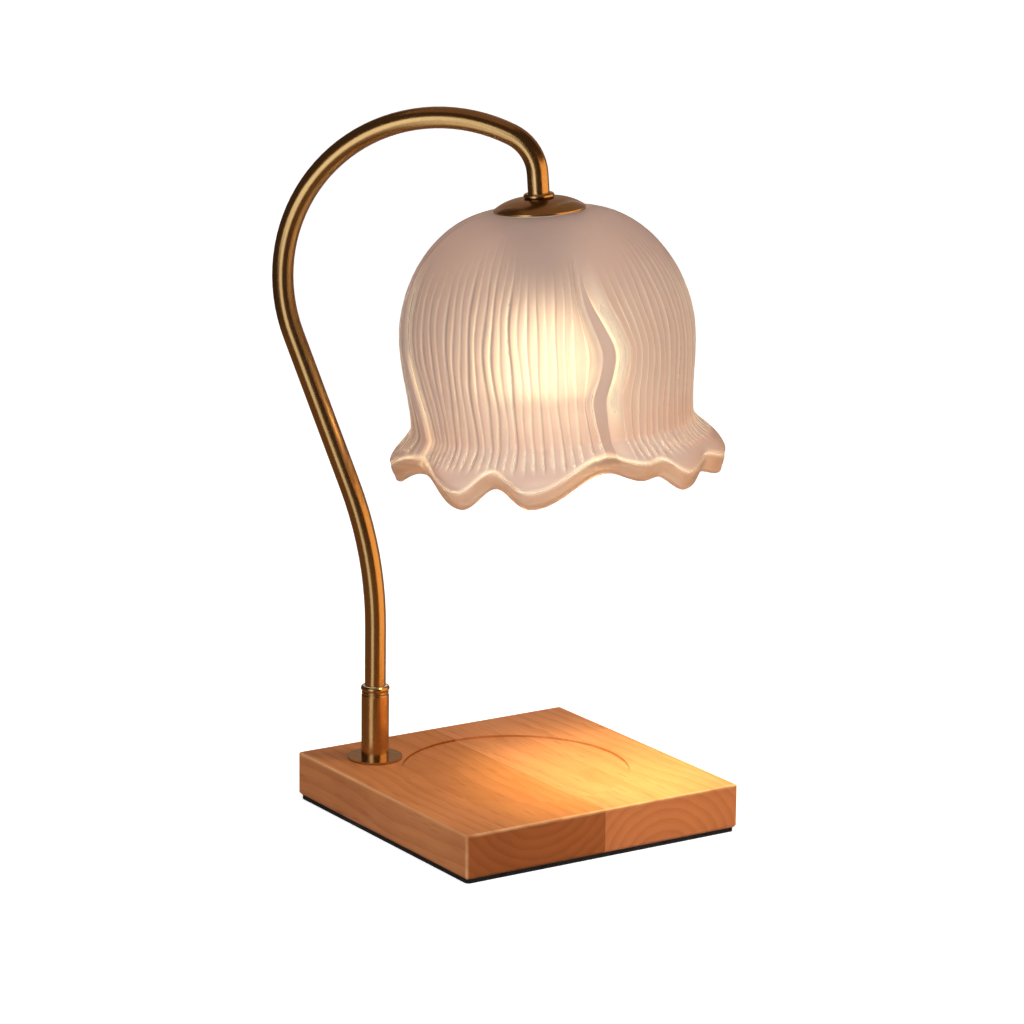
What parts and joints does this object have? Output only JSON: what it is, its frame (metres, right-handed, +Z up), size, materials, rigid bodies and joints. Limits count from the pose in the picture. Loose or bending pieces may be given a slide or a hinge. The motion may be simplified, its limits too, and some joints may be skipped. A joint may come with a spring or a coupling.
{
  "type": "candle warmer lamp",
  "caption": "Candle warmer lamp: square wooden base with a round candle recess, swivelling bent brass tube, and a ruffled glass bell shade over a heating bulb.",
  "frame": {"origin": "centre of the square underside, on the table", "axes": "+Z up; the post stands at the corner towards -X and +Y, the arm reaches towards +X and -Y, and the cord hole opens in the +Y edge"},
  "size_m": [0.1706, 0.1724, 0.3352],
  "materials": {
    "wood": "light rubberwood, satin lacquer",
    "black_rubber": "matte foam rubber",
    "antique_brass": "antique brass, fine brushing under clear lacquer",
    "steel": "zinc plated",
    "nylon": "natural nylon",
    "lead_jacket": "silicone insulation",
    "black_plastic": "moulded phenolic",
    "ceramic": "unglazed",
    "contact_metal": "nickel brass",
    "silicone": "translucent silicone",
    "frosted_glass": "pleated, frosted inside, warm tint",
    "reflector": "aluminised glass",
    "clear_glass": "clear",
    "filament": "glowing tungsten coil"
  },
  "bodies": {
    "base": {"wood_base": "wood", "base_pad": "black_rubber", "cord_gland": "black_rubber", "post_flange": "antique_brass", "post_sleeve": "antique_brass", "post_stem": "steel", "post_washer": "steel", "lock_washer": "steel", "post_nut": "steel", "thrust_washer": "nylon", "lower_bush": "nylon", "upper_bush": "nylon", "base_cores": "lead_jacket", "terminal_block": "nylon", "terminal_screws": "steel"},
    "arm": {"arm_tube": "antique_brass", "tube_clip": "steel", "stop_pin": "steel", "arm_lead": "lead_jacket", "holder_cores": "lead_jacket", "tube_collar": "antique_brass", "shade_cap": "antique_brass", "star_washer": "steel", "holder_cap": "black_plastic", "holder_shell": "black_plastic", "holder_insert": "ceramic", "socket_contacts": "contact_metal", "contact_screws": "steel"},
    "shade": {"glass_shade": "frosted_glass", "upper_gasket": "silicone", "lower_gasket": "silicone"},
    "ring": {"shade_ring": "black_plastic"},
    "bulb": {"bulb_base": "ceramic", "bulb_pins": "contact_metal", "bulb_reflector": "reflector", "bulb_front_glass": "clear_glass", "bulb_capsule": "clear_glass", "bulb_filament": "filament"}
  },
  "joints": [
    {"name": "arm_swivel", "type": "hinge", "parent": "base", "child": "arm", "pos_m": [-0.04835, 0.04835, 0.029], "axis": [0, 0, 1], "range_deg": [-90, 90]},
    {"name": "bulb_twist", "type": "hinge", "parent": "arm", "child": "bulb", "pos_m": [0.00743, -0.00743, 0.25557], "axis": [0.0518, -0.0518, -0.9973], "range_deg": [0, 28]},
    {"name": "shade_drop", "type": "slide", "parent": "arm", "child": "shade", "axis": [0.0518, -0.0518, -0.9973], "range_m": [0, 0.006]},
    {"name": "ring_turn", "type": "hinge", "parent": "shade", "child": "ring", "pos_m": [0.006, -0.006, 0.283], "axis": [0.0518, -0.0518, -0.9973], "range_deg": [0, 1080]}
  ],
  "couplings": [
    {"joint": "ring_turn", "follows": "shade_drop", "rad_per_m": 3141.6}
  ]
}
